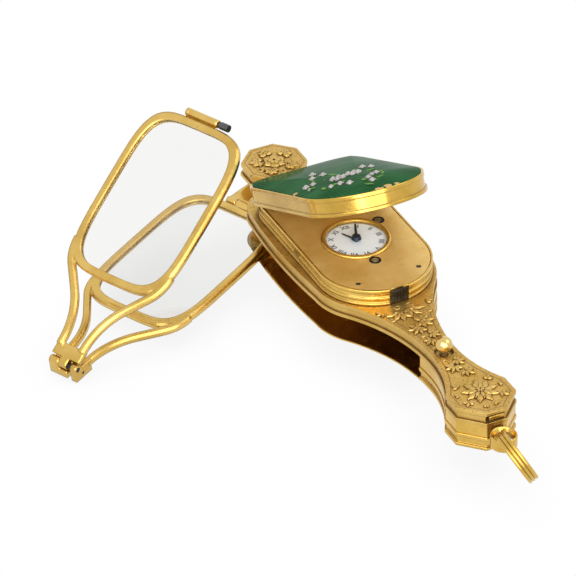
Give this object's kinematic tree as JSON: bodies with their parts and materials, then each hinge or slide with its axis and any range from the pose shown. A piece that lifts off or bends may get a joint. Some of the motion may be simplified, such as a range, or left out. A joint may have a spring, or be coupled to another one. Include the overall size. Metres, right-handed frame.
{
  "type": "folding lorgnette",
  "caption": "Folding lorgnette: two framed lenses swing from a gold case that also holds a watch under a hinged enamel lid.",
  "frame": {"origin": "middle of the flat back of the case, halfway along its length without eyelet and bow", "axes": "+Z out of the watch side, +Y along the case from the bow to the lens pivot, +X across the case to the right when the watch faces the viewer and the bow is below"},
  "size_m": [0.0683, 0.1059, 0.0359],
  "materials": {
    "gold_case": "polished gold with hand-cut borders",
    "gold_plate": "fine satin gilding",
    "gold_movement": "matt gilding",
    "steel": "dark polished steel",
    "blued_steel": "blued and polished",
    "enamel_white": "fired white enamel",
    "enamel_green": "translucent green enamel over engine-turned gold",
    "silver": "dulled silver settings",
    "stone": "rose-cut clear stones",
    "lens_glass": "clear ground glass"
  },
  "bodies": {
    "case": {"back_shell": "gold_case", "spine": "gold_case", "upper_shell": "gold_case", "swing_post": "gold_case", "platform": "gold_case", "movement": "gold_movement", "watch_plate": "gold_plate", "plate_screws": "steel", "dial": "enamel_white", "dial_ring": "gold_case", "lid_pin": "gold_case", "eyelet": "gold_case"},
    "lid": {"lid_rim": "gold_case", "lid_enamel": "enamel_green", "lid_settings": "silver", "lid_stones": "stone"},
    "lid_catch": {"lid_catch": "steel"},
    "button": {"button": "gold_case"},
    "lock_bar": {"lock_bar": "gold_case"},
    "bow": {"bow": "gold_case"},
    "hour_hand": {"hour_hand": "blued_steel"},
    "minute_hand": {"minute_hand": "blued_steel"},
    "winding_arbor": {"winding_arbor": "steel"},
    "setting_arbor": {"setting_arbor": "steel"},
    "swivel": {"swivel_arm": "gold_case", "barrel_pin": "gold_case"},
    "lens_a": {"lens_a_frame": "gold_case", "lens_a_glass": "lens_glass", "bridge_pin": "steel", "bridge_spring": "steel", "spring_screw": "steel"},
    "lens_b": {"lens_b_frame": "gold_case", "lens_b_glass": "lens_glass", "catch_tube": "gold_case", "catch_spring": "steel"},
    "bolt": {"catch_bolt": "steel"}
  },
  "joints": [
    {"name": "lens_swing", "type": "hinge", "parent": "case", "child": "swivel", "pos_m": [0, 0.04098, 0.0029], "axis": [0, 0, -1], "range_deg": [-2, 115]},
    {"name": "lens_level", "type": "hinge", "parent": "swivel", "child": "lens_a", "pos_m": [-0.00827, 0.03705, 0.0029], "axis": [-0.4289, 0.9033, 0], "range_deg": [0, 8.6]},
    {"name": "bridge_fold", "type": "hinge", "parent": "lens_a", "child": "lens_b", "pos_m": [-0.05406, 0.01531, -0.00396], "axis": [0.4289, -0.9033, 0], "range_deg": [-8, 150]},
    {"name": "catch_bolt_slide", "type": "slide", "parent": "lens_b", "child": "bolt", "axis": [-0.4289, 0.9033, 0], "range_m": [0, 0.0005], "stiffness_N_per_m": 60, "springref_m": -0.0005},
    {"name": "lid_hinge", "type": "hinge", "parent": "case", "child": "lid", "pos_m": [0, 0.0311, 0.00815], "axis": [-1, 0, 0], "range_deg": [-25.8, 45]},
    {"name": "button_press", "type": "slide", "parent": "case", "child": "button", "axis": [0, 0, -1], "range_m": [0, 0.00045], "stiffness_N_per_m": 400, "springref_m": -0.0002},
    {"name": "lid_catch_drop", "type": "slide", "parent": "case", "child": "lid_catch", "axis": [0, 0, -1], "range_m": [0, 0.0004]},
    {"name": "lock_bar_slide", "type": "slide", "parent": "case", "child": "lock_bar", "axis": [-1, 0, 0], "range_m": [0, 0.0006]},
    {"name": "minute_turn", "type": "hinge", "parent": "case", "child": "minute_hand", "pos_m": [0, 0.00715, 0.01], "axis": [0, 0, -1], "continuous": true},
    {"name": "hour_turn", "type": "hinge", "parent": "case", "child": "hour_hand", "pos_m": [0, 0.00715, 0.01], "axis": [0, 0, -1], "continuous": true},
    {"name": "setting_turn", "type": "hinge", "parent": "case", "child": "setting_arbor", "pos_m": [0, -0.00035, 0.01], "axis": [0, 0, 1], "continuous": true},
    {"name": "winding_turn", "type": "hinge", "parent": "case", "child": "winding_arbor", "pos_m": [0.0063, 0.01085, 0.01], "axis": [0, 0, -1], "continuous": true},
    {"name": "bow_swing", "type": "hinge", "parent": "case", "child": "bow", "pos_m": [0, -0.0492, 0.0036], "axis": [0, 0, 1], "range_deg": [-50, 50]}
  ],
  "couplings": [
    {"joint": "lid_catch_drop", "follows": "button_press", "ratio": 0.85},
    {"joint": "hour_turn", "follows": "minute_turn", "ratio": 0.083333},
    {"joint": "setting_turn", "follows": "minute_turn", "ratio": 3}
  ]
}
